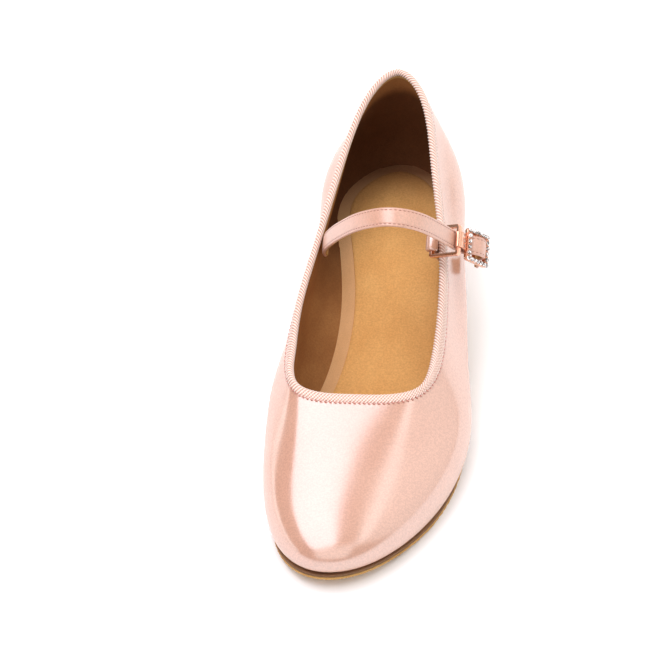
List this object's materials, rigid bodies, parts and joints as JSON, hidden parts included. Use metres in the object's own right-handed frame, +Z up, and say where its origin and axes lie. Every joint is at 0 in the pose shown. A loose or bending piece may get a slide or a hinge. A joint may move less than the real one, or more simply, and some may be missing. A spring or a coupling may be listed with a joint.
{
  "type": "ballroom dance shoe",
  "caption": "Satin ballroom dance shoe with a rounded closed toe, corded topline, instep strap with a stone-set hook buckle, and a low satin block heel.",
  "frame": {"origin": "middle of the box the shoe fills, on the floor it stands on", "axes": "+Z up, toe towards -Y, heel towards +Y, outer side of the left foot and buckle towards +X"},
  "size_m": [0.0912, 0.2378, 0.1071],
  "materials": {
    "satin": "lustrous pink satin",
    "cord": "twisted pink cord",
    "suede_sock": "golden tan suede",
    "dark_leather": "dark brown leather edge",
    "sole_suede": "napped tan suede",
    "rose_gold": "polished rose gold plating",
    "crystal": "cut clear stones"
  },
  "bodies": {
    "root": {"upper": "satin", "topline_binding": "cord", "insole": "suede_sock", "midsole": "dark_leather", "outsole": "sole_suede", "heel": "satin", "heel_top_lift": "sole_suede", "strap": "satin", "strap_anchor": "satin", "buckle_ring": "rose_gold", "buckle_frame": "rose_gold", "crystal_band": "crystal"}
  },
  "joints": []
}
